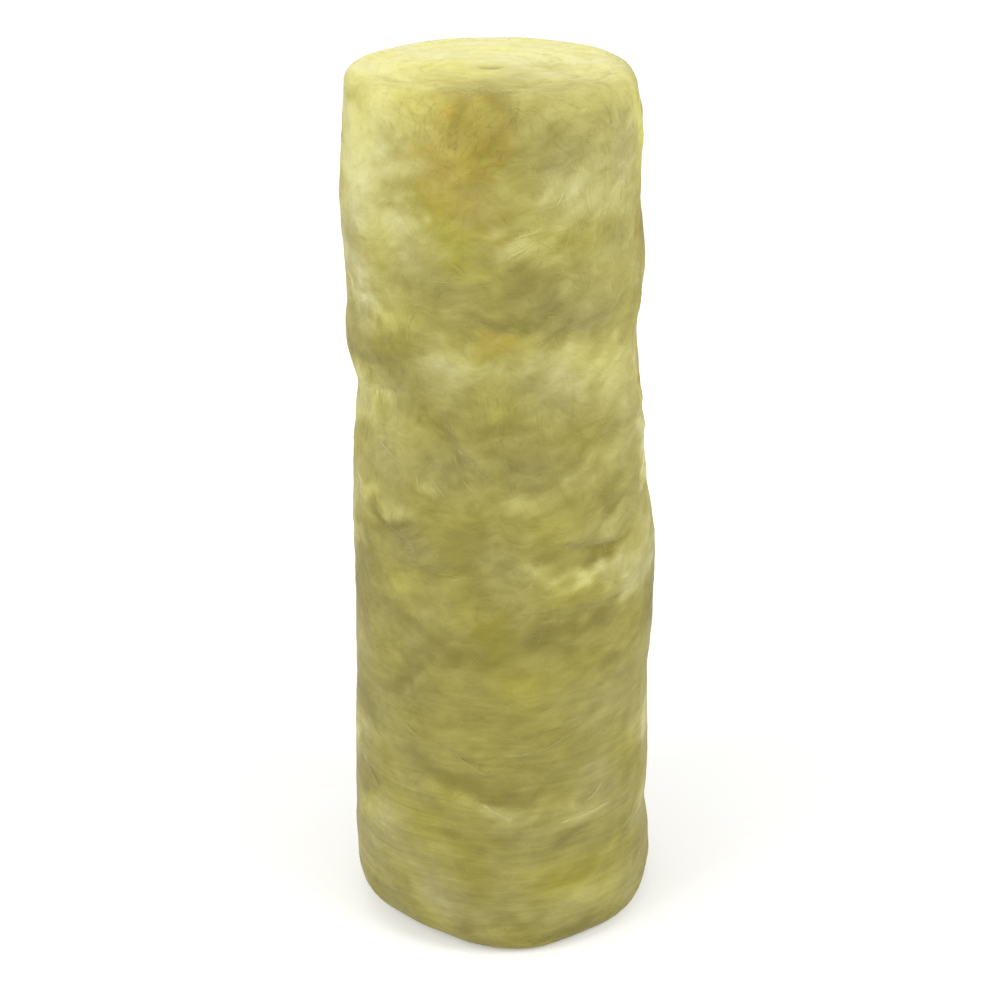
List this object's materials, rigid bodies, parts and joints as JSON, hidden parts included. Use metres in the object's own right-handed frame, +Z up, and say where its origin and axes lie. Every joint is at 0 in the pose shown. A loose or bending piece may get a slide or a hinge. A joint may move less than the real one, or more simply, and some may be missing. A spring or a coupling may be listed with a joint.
{
  "type": "rolled fiberglass insulation batt",
  "caption": "Soft fiberglass insulation batt wound into an upright roll with slumped, wavy sides, spiral ends and a small open bore, for lining walls and roofs.",
  "frame": {"origin": "middle of the base, on the bore's axis, at floor level", "axes": "+Z up the bore; -Y towards a viewer in front; +X to that viewer's right, beside the batt's outer end"},
  "size_m": [0.4251, 0.4251, 1.2],
  "materials": {
    "glass_wool": "matte, fibrous, mottled straw yellow and olive"
  },
  "bodies": {
    "root": {"rolled_batt": "glass_wool"}
  },
  "joints": []
}
